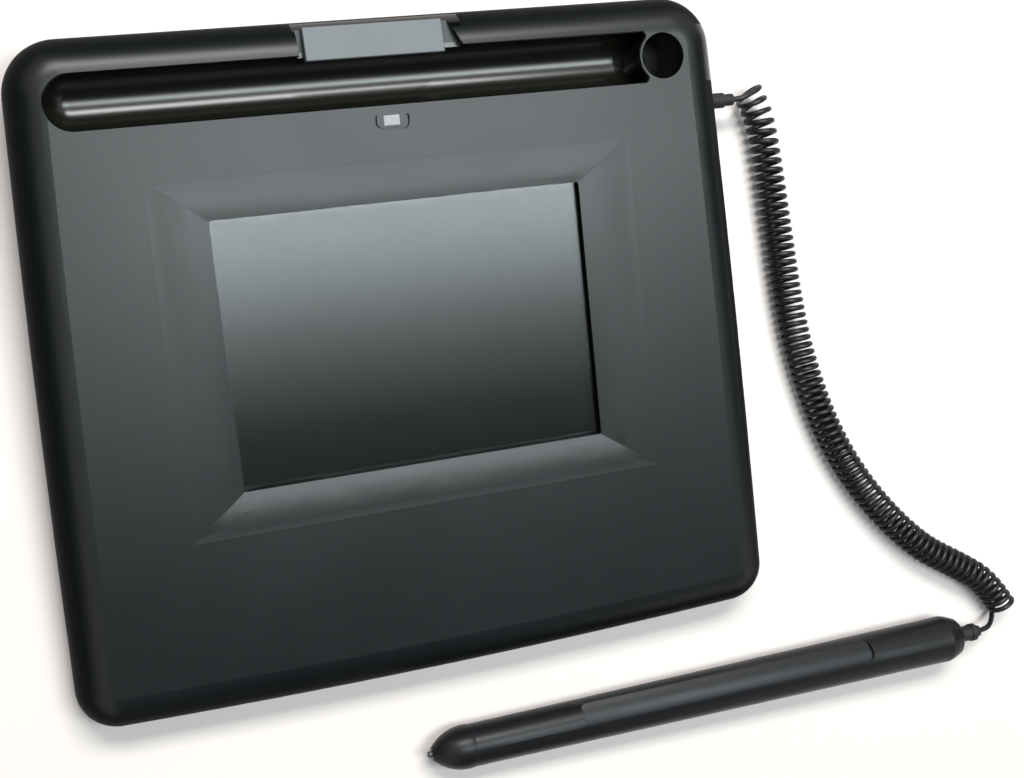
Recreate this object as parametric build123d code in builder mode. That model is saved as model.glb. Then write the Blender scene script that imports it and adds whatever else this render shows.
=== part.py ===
# Signature pad lying on a desk, with its pen beside it on a short curly cord.
# X runs to the right, Y to the pen groove along the back edge, Z up from the desk.
# The origin is on the desk, midway between the four feet. All sizes are in millimetres.

import os
from math import cos, pi, radians, sin, sqrt, tan

from build123d import *

os.makedirs("parts", exist_ok=True)

# Pad outline, seen from above
pad_back_y = 89.2
pad_front_y = -87.2
pad_width_back = 188.0
side_spread_middle = 3.2
side_spread_front = 4.8
front_bow = 2.0
back_corner_radius = 14.0
front_corner_radius = 11.0

# Pad heights and walls
foot_gap = 1.5
parting_height = 6.0
face_height = 21.5
face_slope = 3.5
shoulder_radius = 10.0
inner_shoulder_radius = 7.3
wall = 2.2
base_floor = 2.2
base_draft = 0.9
base_edge = 1.2
lip_wall = 1.2
lip_height = 1.6
seat_gap = 0.1

# Screen opening and the dish round it, measured along the face
opening_width = 100.0
opening_height = 70.0
opening_corner = 0.8
screen_v = 6.0
dish_depth = 2.2
dish_margin_side = 15.0
dish_margin_end = 11.0
opening_lip = 1.3

# Display stack, from the glass down
glass_border = 4.0
glass_corner = 2.0
gasket_thickness = 0.5
glass_thickness = 1.1
bezel_flange = 0.3
bezel_wall = 0.6
bezel_border = 2.2
panel_border = 1.6
panel_thickness = 1.8
panel_ledge = 4.0
backlight_thickness = 2.4
sensor_border = 6.0
sensor_thickness = 1.2
shield_thickness = 0.3
frame_thickness = 1.6
frame_border = 8.0
frame_web = 13.0
frame_post_out = 10.5
frame_post_in = 2.0
frame_post_radius = 3.0

# Pen groove, its trough and the pen well
groove_margin = 8.6
groove_width = 13.4
groove_v = 72.6
groove_edge = 3.4
trough_wall = 1.2
pocket_length = 10.7
pocket_drop = 3.0
well_margin = 16.8
well_diameter = 12.4
well_depth = 17.0
well_wall = 0.8
well_floor = 1.5
nib_dimple = 4.6
dimple_depth = 0.7
collar_width = 1.6
groove_corner = 1.1
rim_easing = 0.3

# Notch in the back ridge and the blank plate in it
plate_u = -2.5
plate_width = 36.6
plate_gap = 1.7
plate_front_v = 78.1
plate_back_v = 86.6
plate_drop = 1.2
plate_proud = 0.3
notch_flare = 3.4
notch_floor = 2.4

# Status window, the groove round it and its light
window_u = -0.5
window_v = 61.8
window_width = 4.2
window_height = 2.6
window_corner = 0.4
window_flange = 0.8
mark_width = 9.4
mark_height = 5.2
mark_line = 0.7
mark_depth = 0.8
stem_width = 3.0
stem_height = 2.0
led_width = 3.2
led_depth = 2.8
led_height = 1.7
led_gap = 0.3

# Main board and what is on it
board_width = 124.0
board_front_y = 22.0
board_back_y = 84.0
board_thickness = 1.6
board_height = 5.4
board_post_x = 57.0
board_post_front_y = 27.0
board_post_back_y = 77.0
board_post_radius = 3.2
chip_size = 14.0
chip_height = 1.4
chip_x = -12.0
chip_y = 48.0
socket_x = -40.0
socket_width = 7.7
socket_height = 3.9
socket_length = 9.2
socket_wall = 0.45
socket_recess = 0.6
aperture_margin = 1.4
header_length = 7.0
header_width = 9.0
header_height = 5.0
connector_width = 16.0
connector_depth = 4.5
connector_height = 1.8
ribbon_thickness = 0.3
lcd_ribbon_width = 14.0
lcd_ribbon_in = 28.0
sensor_ribbon_width = 12.0
sensor_ribbon_in = 22.0

# Screws and feet
screw_margin = 10.0
screw_y = 47.0
boss_radius = 3.6
base_boss_radius = 4.8
cover_screw_radius = 1.45
cover_screw_head = 2.8
cover_screw_length = 12.0
head_height = 1.9
head_recess = 2.5
small_screw_radius = 1.0
small_screw_head = 2.0
small_head_height = 1.2
small_screw_length = 4.6
screw_clearance = 0.05
foot_margin = 16.0
foot_y = 71.0
foot_radius = 6.5
foot_recess = 0.8
foot_edge = 0.4
rib_height = 1.6
rib_thickness = 1.2
rib_pitch = 26.0

# Cord and strain relief on the right side wall
wire_diameter = 1.6
relief_y = 60.5
relief_height = 9.5
relief_radius = 2.2
relief_tip_radius = 1.7
relief_reach = 10.2
relief_step = 7.2
relief_neck = 1.5
relief_flange = 3.0
relief_flange_thickness = 1.4
neck_clearance = 0.1

# Curly cord
coil_diameter = 9.0
coil_turns = 77.625
coil_steps = 155
coil_loosening = 0.35
cord_facets = 5

# Pen
pen_length = 173.0
pen_tail_radius = 7.2
pen_front_radius = 5.9
pen_tail_x = 165.9
pen_tail_y = -112.5
pen_nose_y = -112.4
pen_bore_radius = 4.5
end_cap_length = 8.0
end_cap_wall = 2.0
spigot_length = 5.0
spigot_gap = 0.05
nose_length = 19.0
nose_cavity_radius = 3.0
nose_cavity_end = 9.0
nib_radius = 0.9
nib_clearance = 0.05
nib_reach = 1.4
nib_stem = 26.0
nib_travel = 0.4
tip_coil_radius = 2.9
tip_coil_bore = 1.2
tip_coil_length = 12.0
switch_radius = 3.8
switch_length = 6.5
pen_board_width = 8.6
pen_board_thickness = 1.0
pen_board_tail = 30.0
land_tail = 34.0
land_length = 95.0
land_width = 6.6
land_corner = 2.2
land_depth = 1.0
land_roll = 33.0
boot_length = 7.7
boot_radius = 2.4
boot_tip_radius = 1.7
boot_ring_radius = 2.7
boot_ring_place = 4.4
boot_ring_length = 1.6
boot_neck_radius = 1.9
boot_flange_radius = 3.3
boot_flange_thickness = 1.5

# The sloping face, and the planes that lie under it
face = Plane(
    origin=(0, 0, face_height),
    x_dir=(1, 0, 0),
    z_dir=(0, -sin(radians(face_slope)), cos(radians(face_slope))),
)
lip_depth = dish_depth + opening_lip
glass_top = lip_depth + gasket_thickness
glass_bottom = glass_top + glass_thickness
panel_top = glass_bottom + bezel_flange
panel_bottom = panel_top + panel_thickness
stack_bottom = panel_bottom + backlight_thickness
sensor_bottom = stack_bottom + sensor_thickness
frame_top = sensor_bottom + shield_thickness
frame_bottom = frame_top + frame_thickness
groove_radius = groove_width / 2
well_radius = well_diameter / 2
cup_radius = well_radius + well_wall
base_top = foot_gap + base_floor
screw_seat = foot_gap + head_recess
pad_depth = pad_back_y - pad_front_y
pad_width_middle = pad_width_back + 2 * side_spread_middle
pad_width_front = pad_width_back + 2 * side_spread_front
groove_left = groove_margin - pad_width_back / 2
well_u = pad_width_back / 2 - well_margin
pocket_u = well_u - pocket_length
screw_x = pad_width_back / 2 - screw_margin
foot_x = pad_width_back / 2 - foot_margin
frame_post_u = opening_width / 2 + frame_post_out
frame_post_v = opening_height / 2 - frame_post_in
lcd_ribbon_x = opening_width / 2 - lcd_ribbon_in
sensor_ribbon_x = sensor_ribbon_in - opening_width / 2 - sensor_border
board_top = board_height + board_thickness


def face_point(u, v, depth):
    """The place that lies u across, v back along the face and depth under it."""
    return face.from_local_coords(Vector(u, v, -depth))


def face_spot(u, v, depth):
    """A plane at that place, parallel to the face."""
    return Plane(origin=face_point(u, v, depth), x_dir=face.x_dir, z_dir=face.z_dir)


def outline(inset=0.0):
    """The pad's outline with bowed sides and front, drawn in by the inset."""
    back_x = pad_width_back / 2
    middle_x = pad_width_middle / 2
    front_x = pad_width_front / 2
    side_front_y = pad_front_y + front_bow
    with BuildSketch() as plan:
        with BuildLine():
            Line((-back_x, pad_back_y), (back_x, pad_back_y))
            ThreePointArc((back_x, pad_back_y), (middle_x, 0), (front_x, side_front_y))
            ThreePointArc((front_x, side_front_y), (0, pad_front_y), (-front_x, side_front_y))
            ThreePointArc((-front_x, side_front_y), (-middle_x, 0), (-back_x, pad_back_y))
        make_face()
        fillet(plan.vertices().group_by(Axis.Y)[-1], back_corner_radius)
        fillet(plan.vertices().group_by(Axis.Y)[0], front_corner_radius)
        if inset > 0:
            offset(amount=-inset, mode=Mode.REPLACE)
    return plan.sketch


def side_x(y):
    """How far the right side of the outline stands from the middle at this y."""
    side_front_y = pad_front_y + front_bow
    middle_x = pad_width_middle / 2
    back_in = middle_x - pad_width_back / 2
    front_in = middle_x - pad_width_front / 2
    # the side as x = middle_x - slope * y - bow * y * y through its three points
    bow = (back_in / pad_back_y - front_in / side_front_y) / (pad_back_y - side_front_y)
    slope = back_in / pad_back_y - bow * pad_back_y
    return middle_x - slope * y - bow * y * y


def groove_outline(extra=0.0):
    """The pen groove seen square to the face, with a round left end."""
    reach = well_u - groove_left - groove_radius
    with BuildSketch() as plan:
        with Locations(((well_u + groove_left + groove_radius) / 2, groove_v)):
            SlotCenterToCenter(reach, groove_width + 2 * extra)
    return plan.sketch


def screen_sheet(depth, thickness, border, corner):
    """A rounded sheet in the display stack, larger than the opening by its border."""
    with BuildPart() as sheet:
        with BuildSketch(face_spot(0, screen_v, depth)):
            RectangleRounded(opening_width + 2 * border, opening_height + 2 * border, corner)
        extrude(amount=-thickness)
    return sheet.part


# What is hollow inside the top cover
with BuildPart() as cover_hollow:
    with BuildSketch(Plane.XY.offset(parting_height)):
        add(outline(wall))
    extrude(amount=face_height * 2)
    split(bisect_by=face.offset(-wall), keep=Keep.BOTTOM)
    fillet(cover_hollow.faces().sort_by(Axis.Z)[-1].edges(), inner_shoulder_radius)
    # the thick frame round the screen
    with BuildSketch(face_spot(0, screen_v, 0)):
        RectangleRounded(
            opening_width + 2 * dish_margin_side,
            opening_height + 2 * dish_margin_end,
            glass_corner + glass_border,
        )
    extrude(amount=-lip_depth, mode=Mode.SUBTRACT)
    # the thick collar round the groove and the well
    with BuildSketch(face):
        add(groove_outline(collar_width))
        with Locations((well_u, groove_v)):
            Circle(cup_radius + collar_width)
    extrude(amount=-groove_edge, mode=Mode.SUBTRACT)
    # the floor under the notch in the back ridge
    with BuildSketch(face):
        with Locations((plate_u, plate_front_v)):
            Rectangle(
                plate_width + 2 * plate_gap + 2 * notch_flare + 2 * wall,
                pad_depth / 2,
                align=(Align.CENTER, Align.MIN),
            )
        with Locations((plate_u, groove_v)):
            Rectangle(pad_width_back, 2 * (groove_radius + trough_wall), mode=Mode.SUBTRACT)
    extrude(amount=-groove_edge - notch_floor, mode=Mode.SUBTRACT)
    # posts for the display frame
    with BuildSketch(face):
        with Locations((0, screen_v)):
            with GridLocations(2 * frame_post_u, 2 * frame_post_v, 2, 2):
                Circle(frame_post_radius)
    extrude(amount=-frame_top, mode=Mode.SUBTRACT)
    # wall that locates the glass, the gasket and the bezel
    with BuildSketch(face_spot(0, screen_v, 0)):
        glass_width = opening_width + 2 * glass_border
        glass_height = opening_height + 2 * glass_border
        RectangleRounded(glass_width + 2 * wall, glass_height + 2 * wall, glass_corner + wall)
        RectangleRounded(
            glass_width + 2 * seat_gap, glass_height + 2 * seat_gap, glass_corner, mode=Mode.SUBTRACT
        )
    extrude(amount=-panel_top, mode=Mode.SUBTRACT)
    # bosses for the screws that come up through the bottom cover
    with BuildSketch(Plane.XY.offset(parting_height)):
        with GridLocations(2 * screw_x, 2 * screw_y, 2, 2):
            Circle(boss_radius)
    extrude(amount=face_height * 2, mode=Mode.SUBTRACT)

# Top cover
with BuildPart() as top_cover:
    with BuildSketch(Plane.XY.offset(parting_height)):
        add(outline())
    extrude(amount=face_height * 2)
    split(bisect_by=face, keep=Keep.BOTTOM)
    fillet(top_cover.faces().sort_by(Axis.Z)[-1].edges(), shoulder_radius)
    add(cover_hollow.part, mode=Mode.SUBTRACT)
    # dish that slopes down to the opening, with a soft outer edge and creased corners
    dish_steps = ((1.06, -0.01), (0.85, 0.03), (0.6, 0.15), (0.4, 0.34), (0.2, 0.62), (0.0, 1.0))
    for margin_share, depth_share in dish_steps:
        with BuildSketch(face_spot(0, screen_v, dish_depth * depth_share)):
            Rectangle(
                opening_width + 2 * dish_margin_side * margin_share,
                opening_height + 2 * dish_margin_end * margin_share,
            )
    loft(mode=Mode.SUBTRACT)
    with BuildSketch(face_spot(0, screen_v, 0)):
        RectangleRounded(opening_width, opening_height, opening_corner)
    extrude(amount=-lip_depth, mode=Mode.SUBTRACT)
    # pen groove, ended by the thin wall round the well
    with BuildSketch(face) as groove_plan:
        add(groove_outline())
        with Locations((well_u, groove_v)):
            Circle(cup_radius, mode=Mode.SUBTRACT)
        fillet(groove_plan.vertices().group_by(Axis.X)[-1], groove_corner)
    extrude(amount=-groove_edge, mode=Mode.SUBTRACT)
    with BuildSketch(face):
        with Locations((well_u, groove_v)):
            Circle(well_radius)
    extrude(amount=-groove_edge, mode=Mode.SUBTRACT)
    # eased rims of the groove's long sides and round left end
    face_rims = top_cover.faces().sort_by(Axis.Z)[-1].edges()
    groove_rims = face_rims.filter_by(
        lambda rim: rim.center().X < well_u - groove_radius
        and rim.bounding_box().min.Y > face_point(0, groove_v - groove_width, 0).Y
        and rim.bounding_box().max.Y < face_point(0, groove_v + groove_width, 0).Y
    )
    chamfer(groove_rims, rim_easing)
    # notch in the back ridge, flared on its right side
    notch_left = plate_u - plate_width / 2 - plate_gap
    notch_right = plate_u + plate_width / 2 + plate_gap
    notch_front_v = groove_v
    notch_back_v = pad_back_y + wall
    with BuildSketch(face):
        with BuildLine():
            Polyline(
                (notch_left, notch_front_v),
                (notch_right + notch_flare, notch_front_v),
                (notch_right + notch_flare, plate_front_v + trough_wall),
                (notch_right, plate_back_v),
                (notch_right, notch_back_v),
                (notch_left, notch_back_v),
                close=True,
            )
        make_face()
    extrude(amount=-groove_edge, mode=Mode.SUBTRACT)
    # fine groove round three sides of the status window, and the window's hole
    with BuildSketch(face_spot(window_u, window_v, 0)):
        RectangleRounded(mark_width, mark_height, mark_height / 2 - mark_line / 2)
        RectangleRounded(
            mark_width - 2 * mark_line,
            mark_height - 2 * mark_line,
            mark_height / 2 - 3 * mark_line / 2,
            mode=Mode.SUBTRACT,
        )
        with Locations((0, mark_height / 2)):
            Rectangle(mark_width, mark_height / 2, mode=Mode.SUBTRACT)
    extrude(amount=-mark_depth, mode=Mode.SUBTRACT)
    with BuildSketch(face_spot(window_u, window_v, 0)):
        Rectangle(window_width + 2 * screw_clearance, window_height + 2 * screw_clearance)
    extrude(amount=-wall, mode=Mode.SUBTRACT)
    # hole for the strain relief in the right side wall
    with BuildSketch(Plane.YZ.offset(side_x(relief_y) - 2 * wall)):
        with Locations((relief_y, relief_height)):
            Circle(relief_neck + neck_clearance)
    extrude(amount=3 * wall, mode=Mode.SUBTRACT)
    # aperture for the plug in the back wall
    with BuildSketch(Plane.XZ.offset(-pad_back_y)):
        with Locations((socket_x, board_top + socket_height / 2)):
            RectangleRounded(
                socket_width + 2 * aperture_margin, socket_height + 2 * aperture_margin, aperture_margin
            )
    extrude(amount=2 * wall, mode=Mode.SUBTRACT)
    # pilot holes
    with BuildSketch(Plane.XY.offset(parting_height)):
        with GridLocations(2 * screw_x, 2 * screw_y, 2, 2):
            Circle(cover_screw_radius + screw_clearance)
    extrude(amount=screw_seat + cover_screw_length + screw_clearance - parting_height, mode=Mode.SUBTRACT)
    with BuildSketch(face.offset(-frame_top)):
        with Locations((0, screen_v)):
            with GridLocations(2 * frame_post_u, 2 * frame_post_v, 2, 2):
                Circle(small_screw_radius + screw_clearance)
    extrude(amount=small_screw_length, mode=Mode.SUBTRACT)
top_cover.part.label = "top_cover"

# Bottom cover
with BuildPart() as bottom_cover:
    with BuildSketch(Plane.XY.offset(foot_gap)):
        add(outline(base_draft))
    with BuildSketch(Plane.XY.offset(parting_height)):
        add(outline())
    loft()
    fillet(bottom_cover.faces().sort_by(Axis.Z)[0].edges(), base_edge)
    with BuildSketch(Plane.XY.offset(base_top)):
        add(outline(wall + seat_gap))
    extrude(amount=parting_height, mode=Mode.SUBTRACT)
    # lip that slides inside the top cover
    with BuildSketch(Plane.XY.offset(base_top)):
        add(outline(wall + seat_gap))
        add(outline(wall + seat_gap + lip_wall), mode=Mode.SUBTRACT)
    extrude(amount=parting_height + lip_height - base_top)
    # stiffening ribs
    with BuildSketch(Plane.XY.offset(base_top)):
        with GridLocations(rib_pitch, pad_depth, 5, 1):
            Rectangle(rib_thickness, pad_depth - 2 * back_corner_radius)
        with GridLocations(pad_width_back, rib_pitch, 1, 4):
            Rectangle(pad_width_back - 2 * back_corner_radius, rib_thickness)
    extrude(amount=rib_height)
    # posts for the main board and bosses for the cover screws
    board_posts = [
        (side * board_post_x, y) for side in (-1, 1) for y in (board_post_front_y, board_post_back_y)
    ]
    with BuildSketch(Plane.XY.offset(base_top)):
        with Locations(*board_posts):
            Circle(board_post_radius)
    extrude(amount=board_height - base_top)
    with BuildSketch(Plane.XY.offset(base_top)):
        with GridLocations(2 * screw_x, 2 * screw_y, 2, 2):
            Circle(base_boss_radius)
    extrude(amount=parting_height - base_top)
    with BuildSketch(Plane.XY.offset(board_height)):
        with Locations(*board_posts):
            Circle(small_screw_radius + screw_clearance)
    extrude(amount=board_thickness - small_screw_length - screw_clearance, mode=Mode.SUBTRACT)
    with BuildSketch(Plane.XY.offset(foot_gap)):
        with GridLocations(2 * screw_x, 2 * screw_y, 2, 2):
            Circle(cover_screw_head + seat_gap)
    extrude(amount=head_recess, mode=Mode.SUBTRACT)
    with BuildSketch(Plane.XY.offset(foot_gap)):
        with GridLocations(2 * screw_x, 2 * screw_y, 2, 2):
            Circle(cover_screw_radius + screw_clearance)
    extrude(amount=parting_height, mode=Mode.SUBTRACT)
    # shallow seats for the feet
    with BuildSketch(Plane.XY.offset(foot_gap)):
        with GridLocations(2 * foot_x, 2 * foot_y, 2, 2):
            Circle(foot_radius + seat_gap)
    extrude(amount=foot_recess, mode=Mode.SUBTRACT)
    # room in the lip for the strain relief's flange
    with BuildSketch(Plane.YZ.offset(pad_width_back / 4)):
        with Locations((relief_y, relief_height)):
            Circle(relief_flange + seat_gap)
    extrude(amount=pad_width_back, mode=Mode.SUBTRACT)
    # room in the lip for the plug
    with BuildSketch(Plane.XZ.offset(-pad_back_y)):
        with Locations((socket_x, board_top + socket_height / 2)):
            Rectangle(socket_width + 2 * aperture_margin, socket_height + 2 * aperture_margin)
    extrude(amount=3 * wall, mode=Mode.SUBTRACT)
bottom_cover.part.label = "bottom_cover"

# Four rubber feet
with BuildPart() as rubber_feet:
    with BuildSketch():
        with GridLocations(2 * foot_x, 2 * foot_y, 2, 2):
            Circle(foot_radius)
    extrude(amount=foot_gap + foot_recess)
    fillet(rubber_feet.edges().group_by(Axis.Z)[0], foot_edge)
rubber_feet.part.label = "rubber_feet"

# Screws that hold the covers together, with crossed slots in their heads
with BuildPart() as cover_screws:
    with BuildSketch(Plane.XY.offset(screw_seat - head_height)):
        with GridLocations(2 * screw_x, 2 * screw_y, 2, 2):
            Circle(cover_screw_head)
    extrude(amount=head_height)
    with BuildSketch(Plane.XY.offset(screw_seat)):
        with GridLocations(2 * screw_x, 2 * screw_y, 2, 2):
            Circle(cover_screw_radius)
    extrude(amount=cover_screw_length)
    with BuildSketch(Plane.XY.offset(screw_seat - head_height)):
        with GridLocations(2 * screw_x, 2 * screw_y, 2, 2):
            Rectangle(cover_screw_head, cover_screw_radius / 2)
            Rectangle(cover_screw_radius / 2, cover_screw_head)
    extrude(amount=head_height / 2, mode=Mode.SUBTRACT)
cover_screws.part.label = "cover_screws"

# Trough of the pen groove: a half round channel with a deeper pocket at its right end
trough_left = groove_left + groove_radius
trough_right = well_u - groove_radius / 2
with BuildPart() as pen_trough:
    for radius, mode in ((groove_radius + trough_wall, Mode.ADD), (groove_radius, Mode.SUBTRACT)):
        wall_here = radius - groove_radius
        with Locations(face_spot(trough_left, groove_v, groove_edge)):
            Sphere(radius, mode=mode)
        channel = Plane(
            origin=face_point(trough_left, groove_v, groove_edge), x_dir=face.y_dir, z_dir=face.x_dir
        )
        with BuildSketch(channel):
            Circle(radius)
        extrude(amount=trough_right - trough_left, mode=mode)
        pocket = Plane(
            origin=face_point(pocket_u - wall_here, groove_v, groove_edge + pocket_drop),
            x_dir=face.y_dir,
            z_dir=face.x_dir,
        )
        with BuildSketch(pocket):
            Circle(radius)
            with Locations((0, pocket_drop / 2)):
                Rectangle(2 * radius, pocket_drop)
        extrude(amount=trough_right - pocket_u + wall_here, mode=mode)
    split(bisect_by=face.offset(-groove_edge), keep=Keep.BOTTOM)
    with BuildSketch(face_spot(well_u, groove_v, 0)):
        Circle(cup_radius + screw_clearance)
    extrude(amount=-2 * well_depth, mode=Mode.SUBTRACT)
pen_trough.part.label = "pen_trough"

# Pen well: a cup under the round hole, with a dimple for the nib in its floor
with BuildPart() as pen_well:
    with BuildSketch(face_spot(well_u, groove_v, groove_edge)):
        Circle(cup_radius)
    extrude(amount=groove_edge - well_depth - well_floor)
    with BuildSketch(face_spot(well_u, groove_v, groove_edge)):
        Circle(well_radius)
    extrude(amount=groove_edge - well_depth, mode=Mode.SUBTRACT)
    with BuildSketch(face_spot(well_u, groove_v, well_depth)):
        Circle(nib_dimple / 2)
    extrude(amount=-dimple_depth, mode=Mode.SUBTRACT)
pen_well.part.label = "pen_well"

# Blank plate in the notch: its top leans back and its edges are eased
plate_section = Plane(
    origin=face_point(plate_u - plate_width / 2, 0, 0), x_dir=face.y_dir, z_dir=face.x_dir
)
with BuildPart() as name_plate:
    with BuildSketch(plate_section):
        with BuildLine():
            Polyline(
                (plate_front_v, -groove_edge + plate_proud),
                (plate_front_v, -plate_proud),
                (plate_back_v, -plate_proud - plate_drop),
                (plate_back_v, -groove_edge),
                (groove_v + groove_radius, -groove_edge),
                (groove_v + groove_radius, -groove_edge + plate_proud),
                close=True,
            )
        make_face()
    extrude(amount=plate_width)
    fillet(name_plate.faces().sort_by(Axis.Z)[-1].edges(), plate_proud)
name_plate.part.label = "name_plate"

# Foam gasket between the lip of the opening and the glass
with BuildPart() as screen_gasket:
    add(screen_sheet(lip_depth, gasket_thickness, glass_border, glass_corner))
    add(screen_sheet(lip_depth, gasket_thickness, 1.0, glass_corner), mode=Mode.SUBTRACT)
screen_gasket.part.label = "screen_gasket"

# Screen glass
with BuildPart() as screen_glass:
    add(screen_sheet(glass_top, glass_thickness, glass_border, glass_corner))
    chamfer(screen_glass.faces().sort_by(Axis.Z)[-1].edges(), seat_gap)
screen_glass.part.label = "screen_glass"

# Metal bezel folded round the display
bezel_outer = panel_border + bezel_wall
with BuildPart() as display_bezel:
    add(screen_sheet(glass_bottom, stack_bottom - glass_bottom, bezel_outer, glass_corner))
    add(
        screen_sheet(panel_top, stack_bottom - panel_top, panel_border, glass_corner - bezel_wall),
        mode=Mode.SUBTRACT,
    )
    add(
        screen_sheet(glass_bottom, bezel_flange, panel_border - bezel_border, seat_gap),
        mode=Mode.SUBTRACT,
    )
display_bezel.part.label = "display_bezel"

# Display panel: two sheets of glass, the lower one with a ledge for its ribbon
panel_inset = panel_border - seat_gap
with BuildPart() as display_panel:
    add(screen_sheet(panel_top, panel_thickness, panel_inset, glass_corner - bezel_wall))
    with BuildSketch(face_spot(0, screen_v + opening_height / 2 + panel_inset, panel_top)):
        Rectangle(opening_width * 2, panel_ledge * 2)
    extrude(amount=-panel_thickness / 2, mode=Mode.SUBTRACT)
display_panel.part.label = "display_panel"

# Backlight tray under the panel
with BuildPart() as backlight:
    add(screen_sheet(panel_bottom, backlight_thickness, panel_inset, glass_corner - bezel_wall))
    with BuildSketch(face_spot(0, screen_v, stack_bottom)):
        with GridLocations(opening_width / 3, opening_height / 2, 3, 2):
            Rectangle(opening_width / 4, opening_height / 3)
    extrude(amount=backlight_thickness / 3, mode=Mode.SUBTRACT)
backlight.part.label = "backlight"

# Sensor board that finds the pen, with notches for the posts
with BuildPart() as sensor_board:
    add(screen_sheet(stack_bottom, sensor_thickness, sensor_border, glass_corner))
    with BuildSketch(face_spot(0, screen_v, stack_bottom)):
        with GridLocations(2 * frame_post_u, 2 * frame_post_v, 2, 2):
            Circle(frame_post_radius + 10 * seat_gap)
    extrude(amount=-sensor_thickness, mode=Mode.SUBTRACT)
sensor_board.part.label = "sensor_board"

# Shield plate behind the sensor board
with BuildPart() as shield_plate:
    add(screen_sheet(sensor_bottom, shield_thickness, sensor_border, glass_corner))
    with BuildSketch(face_spot(0, screen_v, sensor_bottom)):
        with GridLocations(2 * frame_post_u, 2 * frame_post_v, 2, 2):
            Circle(frame_post_radius + 10 * seat_gap)
        with GridLocations(opening_width / 2, 1, 2, 1):
            SlotOverall(opening_height / 2, wall, rotation=90)
    extrude(amount=-shield_thickness, mode=Mode.SUBTRACT)
shield_plate.part.label = "shield_plate"

# Frame that carries the display stack, with an ear at each post
with BuildPart() as display_frame:
    with BuildSketch(face_spot(0, screen_v, frame_top)):
        RectangleRounded(
            opening_width + 2 * frame_border, opening_height + 2 * frame_border, glass_corner + wall
        )
        with GridLocations(2 * frame_post_u, 2 * frame_post_v, 2, 2):
            Circle(frame_post_radius + wall / 2)
        with GridLocations(opening_width / 2, 1, 2, 1):
            RectangleRounded(
                opening_width / 2 - frame_web / 2,
                opening_height + 2 * frame_border - 2 * frame_web,
                glass_corner,
                mode=Mode.SUBTRACT,
            )
        with GridLocations(2 * frame_post_u, 2 * frame_post_v, 2, 2):
            Circle(small_screw_radius + screw_clearance, mode=Mode.SUBTRACT)
    extrude(amount=-frame_thickness)
display_frame.part.label = "display_frame"

# Screws that hold the frame to its posts
with BuildPart() as frame_screws:
    with BuildSketch(face_spot(0, screen_v, frame_bottom)):
        with GridLocations(2 * frame_post_u, 2 * frame_post_v, 2, 2):
            Circle(small_screw_head)
    extrude(amount=-small_head_height)
    with BuildSketch(face_spot(0, screen_v, frame_bottom)):
        with GridLocations(2 * frame_post_u, 2 * frame_post_v, 2, 2):
            Circle(small_screw_radius)
    extrude(amount=small_screw_length)
frame_screws.part.label = "frame_screws"

# Main board on its posts
with BuildPart() as main_board:
    with BuildSketch(Plane.XY.offset(board_height)):
        with Locations((0, (board_front_y + board_back_y) / 2)):
            RectangleRounded(board_width, board_back_y - board_front_y, glass_corner)
        with Locations(*board_posts):
            Circle(small_screw_radius + screw_clearance, mode=Mode.SUBTRACT)
    extrude(amount=board_thickness)
main_board.part.label = "main_board"

# Screws that hold the main board
with BuildPart() as board_screws:
    with BuildSketch(Plane.XY.offset(board_top)):
        with Locations(*board_posts):
            Circle(small_screw_head)
    extrude(amount=small_head_height)
    with BuildSketch(Plane.XY.offset(board_top)):
        with Locations(*board_posts):
            Circle(small_screw_radius)
    extrude(amount=-small_screw_length)
board_screws.part.label = "board_screws"

# Controller chip
with BuildPart() as controller_chip:
    with BuildSketch(Plane.XY.offset(board_top)):
        with Locations((chip_x, chip_y)):
            Rectangle(chip_size, chip_size)
    extrude(amount=chip_height)
    chamfer(controller_chip.faces().sort_by(Axis.Z)[-1].edges(), chip_height / 4)
controller_chip.part.label = "controller_chip"

# Socket for the computer's cable, set back in the rear wall
socket_mouth_y = pad_back_y - wall - socket_recess
with BuildPart() as usb_socket:
    with BuildSketch(Plane.XZ.offset(-socket_mouth_y)):
        with Locations((socket_x, board_top + socket_height / 2)):
            mouth = Rectangle(socket_width, socket_height)
        chamfer(mouth.vertices().group_by(Axis.Y)[0], socket_height / 4)
    extrude(amount=socket_length)
    with BuildSketch(Plane.XZ.offset(-socket_mouth_y)):
        with Locations((socket_x, board_top + socket_height / 2)):
            mouth = Rectangle(socket_width - 2 * socket_wall, socket_height - 2 * socket_wall)
        chamfer(mouth.vertices().group_by(Axis.Y)[0], socket_height / 4 - socket_wall / 2)
    extrude(amount=socket_length * 0.7, mode=Mode.SUBTRACT)
    with BuildSketch(Plane.XZ.offset(-socket_mouth_y + 2 * socket_wall)):
        with Locations((socket_x, board_top + socket_height / 2)):
            Rectangle(socket_width / 2, socket_height / 4)
    extrude(amount=socket_length * 0.7)
usb_socket.part.label = "usb_socket"

# Connector on the board for the pen's cord, and the cord's lead inside the housing
header_x = board_width / 2 - header_length / 2
with BuildPart() as pen_header:
    with BuildSketch(Plane.XY.offset(board_top)):
        with Locations((header_x, relief_y)):
            Rectangle(header_length, header_width)
    extrude(amount=header_height)
    with BuildSketch(Plane.XY.offset(board_top + header_height)):
        with Locations((header_x - header_length / 4, relief_y)):
            Rectangle(header_length / 2, header_width / 2)
    extrude(amount=-header_height / 3, mode=Mode.SUBTRACT)
pen_header.part.label = "pen_header"

wall_inside_x = side_x(relief_y) - wall
relief_inner_x = wall_inside_x - neck_clearance - relief_flange_thickness
with BuildPart() as inner_lead:
    with BuildSketch(Plane.YZ.offset(header_x + header_length / 2)):
        with Locations((relief_y, relief_height)):
            Circle(wire_diameter / 2)
    extrude(amount=relief_inner_x - header_x - header_length / 2)
inner_lead.part.label = "inner_lead"

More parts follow.
